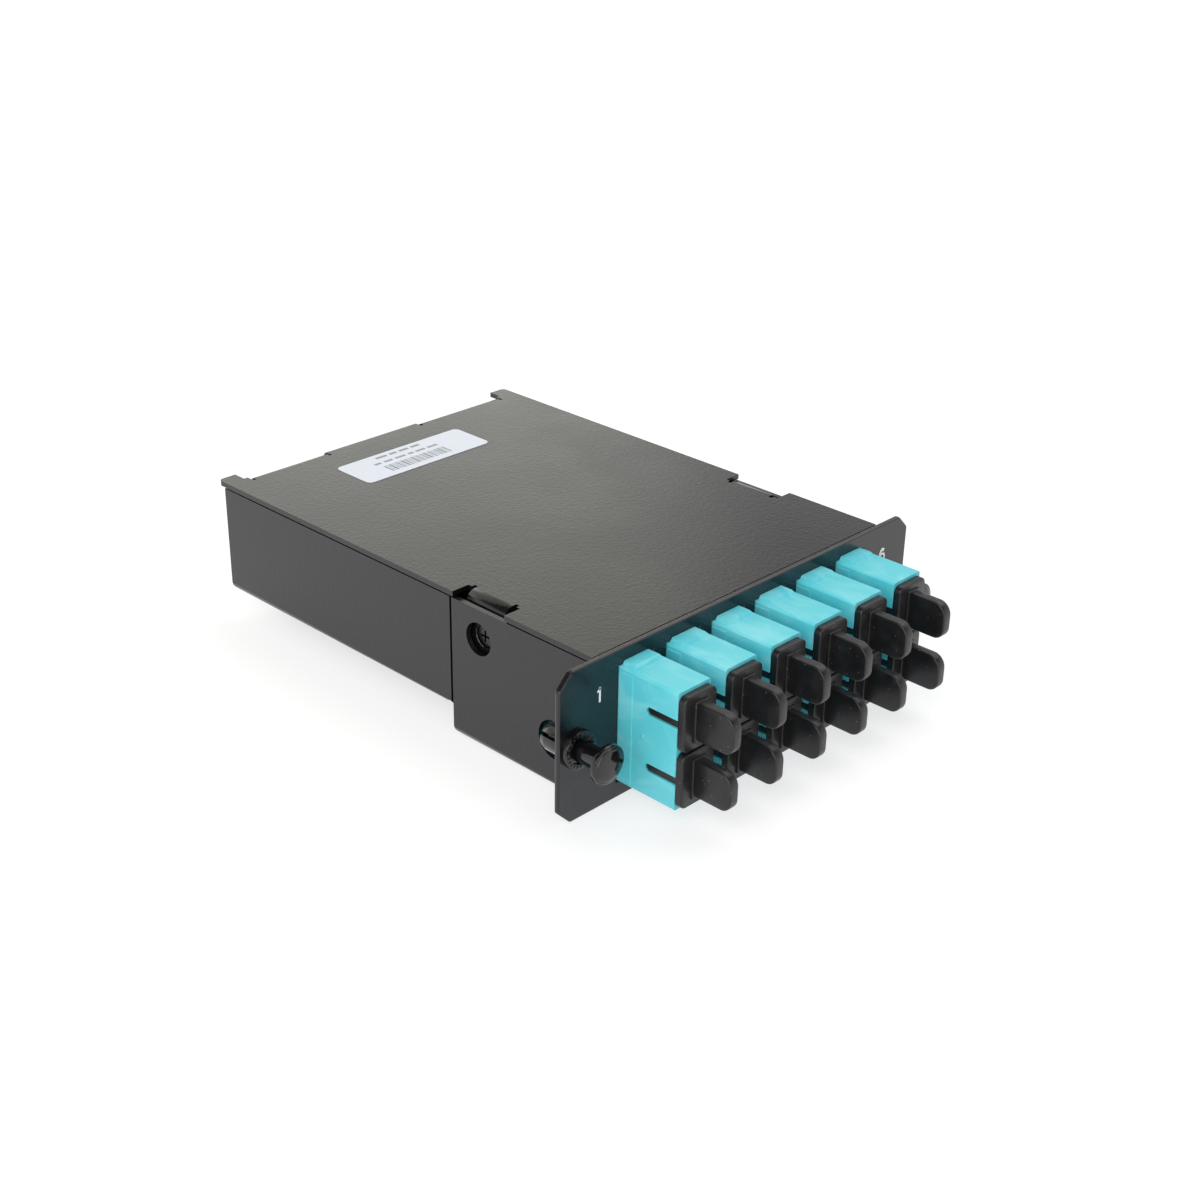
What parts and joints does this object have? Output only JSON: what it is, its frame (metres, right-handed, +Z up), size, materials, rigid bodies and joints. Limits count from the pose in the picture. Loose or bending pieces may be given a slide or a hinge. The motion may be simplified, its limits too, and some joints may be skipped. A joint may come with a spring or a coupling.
{
  "type": "fibre cassette",
  "caption": "Fibre cassette: shallow dark metal box with a row of aqua duplex adapters, black port caps and push fasteners.",
  "frame": {"origin": "the middle of the faceplate's back face, midway between its ends and edges", "axes": "+X along the faceplate, +Y to the rear, +Z up to the cover"},
  "size_m": [0.1116, 0.1587, 0.034],
  "materials": {
    "dark_powder_coat": "fine texture powder coat",
    "bright_steel": "satin",
    "rivet_alloy": "satin",
    "label_film": "matte film",
    "black_gloss": "glossy",
    "aqua_plastic": "satin",
    "natural_plastic": "matte",
    "black_soft": "matte",
    "black_plastic": "matte",
    "foam": "matte",
    "white_ceramic": "polished",
    "aqua_jacket": "matte"
  },
  "bodies": {
    "cassette": {"faceplate": "dark_powder_coat", "front_channel": "dark_powder_coat", "rear_housing": "dark_powder_coat", "top_cover": "dark_powder_coat", "cover_bracket_left": "dark_powder_coat", "cover_bracket_right": "dark_powder_coat", "cover_screws": "bright_steel", "clinch_nuts": "bright_steel", "mpo_screws": "bright_steel", "mpo_nuts": "bright_steel", "guide_pins": "bright_steel", "floor_rivets": "rivet_alloy", "label": "label_film", "grommets": "black_gloss", "sc_adapter_1": "aqua_plastic", "sc_adapter_2": "aqua_plastic", "sc_adapter_3": "aqua_plastic", "sc_adapter_4": "aqua_plastic", "sc_adapter_5": "aqua_plastic", "sc_adapter_6": "aqua_plastic", "inner_connectors_1": "aqua_plastic", "inner_connectors_2": "aqua_plastic", "inner_connectors_3": "aqua_plastic", "inner_connectors_4": "aqua_plastic", "inner_connectors_5": "aqua_plastic", "inner_connectors_6": "aqua_plastic", "mpo_connector": "aqua_plastic", "port_inserts_1": "natural_plastic", "port_inserts_2": "natural_plastic", "port_inserts_3": "natural_plastic", "port_inserts_4": "natural_plastic", "port_inserts_5": "natural_plastic", "port_inserts_6": "natural_plastic", "trunk_saddle": "natural_plastic", "inner_boots": "black_soft", "mpo_boot": "black_soft", "mpo_adapter": "black_plastic", "fanout_block": "black_plastic", "mpo_ferrule": "black_plastic", "fanout_pad": "foam", "alignment_sleeves": "white_ceramic", "inner_ferrules": "white_ceramic", "fibre_leads": "aqua_jacket", "trunk_tube": "aqua_jacket"},
    "dust_cap_1_upper_body": {"dust_cap_1_upper": "black_soft"},
    "dust_cap_1_lower_body": {"dust_cap_1_lower": "black_soft"},
    "dust_cap_2_upper_body": {"dust_cap_2_upper": "black_soft"},
    "dust_cap_2_lower_body": {"dust_cap_2_lower": "black_soft"},
    "dust_cap_3_upper_body": {"dust_cap_3_upper": "black_soft"},
    "dust_cap_3_lower_body": {"dust_cap_3_lower": "black_soft"},
    "dust_cap_4_upper_body": {"dust_cap_4_upper": "black_soft"},
    "dust_cap_4_lower_body": {"dust_cap_4_lower": "black_soft"},
    "dust_cap_5_upper_body": {"dust_cap_5_upper": "black_soft"},
    "dust_cap_5_lower_body": {"dust_cap_5_lower": "black_soft"},
    "dust_cap_6_upper_body": {"dust_cap_6_upper": "black_soft"},
    "dust_cap_6_lower_body": {"dust_cap_6_lower": "black_soft"},
    "plunger_left_body": {"plunger_left": "black_gloss"},
    "plunger_right_body": {"plunger_right": "black_gloss"},
    "mpo_dust_cap_body": {"mpo_dust_cap": "black_soft"}
  },
  "joints": [
    {"name": "dust_cap_1_upper_pull", "type": "slide", "parent": "cassette", "child": "dust_cap_1_upper_body", "axis": [0, -1, 0], "range_m": [0, 0.012]},
    {"name": "dust_cap_1_lower_pull", "type": "slide", "parent": "cassette", "child": "dust_cap_1_lower_body", "axis": [0, -1, 0], "range_m": [0, 0.012]},
    {"name": "dust_cap_2_upper_pull", "type": "slide", "parent": "cassette", "child": "dust_cap_2_upper_body", "axis": [0, -1, 0], "range_m": [0, 0.012]},
    {"name": "dust_cap_2_lower_pull", "type": "slide", "parent": "cassette", "child": "dust_cap_2_lower_body", "axis": [0, -1, 0], "range_m": [0, 0.012]},
    {"name": "dust_cap_3_upper_pull", "type": "slide", "parent": "cassette", "child": "dust_cap_3_upper_body", "axis": [0, -1, 0], "range_m": [0, 0.012]},
    {"name": "dust_cap_3_lower_pull", "type": "slide", "parent": "cassette", "child": "dust_cap_3_lower_body", "axis": [0, -1, 0], "range_m": [0, 0.012]},
    {"name": "dust_cap_4_upper_pull", "type": "slide", "parent": "cassette", "child": "dust_cap_4_upper_body", "axis": [0, -1, 0], "range_m": [0, 0.012]},
    {"name": "dust_cap_4_lower_pull", "type": "slide", "parent": "cassette", "child": "dust_cap_4_lower_body", "axis": [0, -1, 0], "range_m": [0, 0.012]},
    {"name": "dust_cap_5_upper_pull", "type": "slide", "parent": "cassette", "child": "dust_cap_5_upper_body", "axis": [0, -1, 0], "range_m": [0, 0.012]},
    {"name": "dust_cap_5_lower_pull", "type": "slide", "parent": "cassette", "child": "dust_cap_5_lower_body", "axis": [0, -1, 0], "range_m": [0, 0.012]},
    {"name": "dust_cap_6_upper_pull", "type": "slide", "parent": "cassette", "child": "dust_cap_6_upper_body", "axis": [0, -1, 0], "range_m": [0, 0.012]},
    {"name": "dust_cap_6_lower_pull", "type": "slide", "parent": "cassette", "child": "dust_cap_6_lower_body", "axis": [0, -1, 0], "range_m": [0, 0.012]},
    {"name": "plunger_left_push", "type": "slide", "parent": "cassette", "child": "plunger_left_body", "axis": [0, 1, 0], "range_m": [0, 0.0061]},
    {"name": "plunger_right_push", "type": "slide", "parent": "cassette", "child": "plunger_right_body", "axis": [0, 1, 0], "range_m": [0, 0.0061]},
    {"name": "mpo_dust_cap_pull", "type": "slide", "parent": "cassette", "child": "mpo_dust_cap_body", "axis": [0, 1, 0], "range_m": [0, 0.01]}
  ]
}
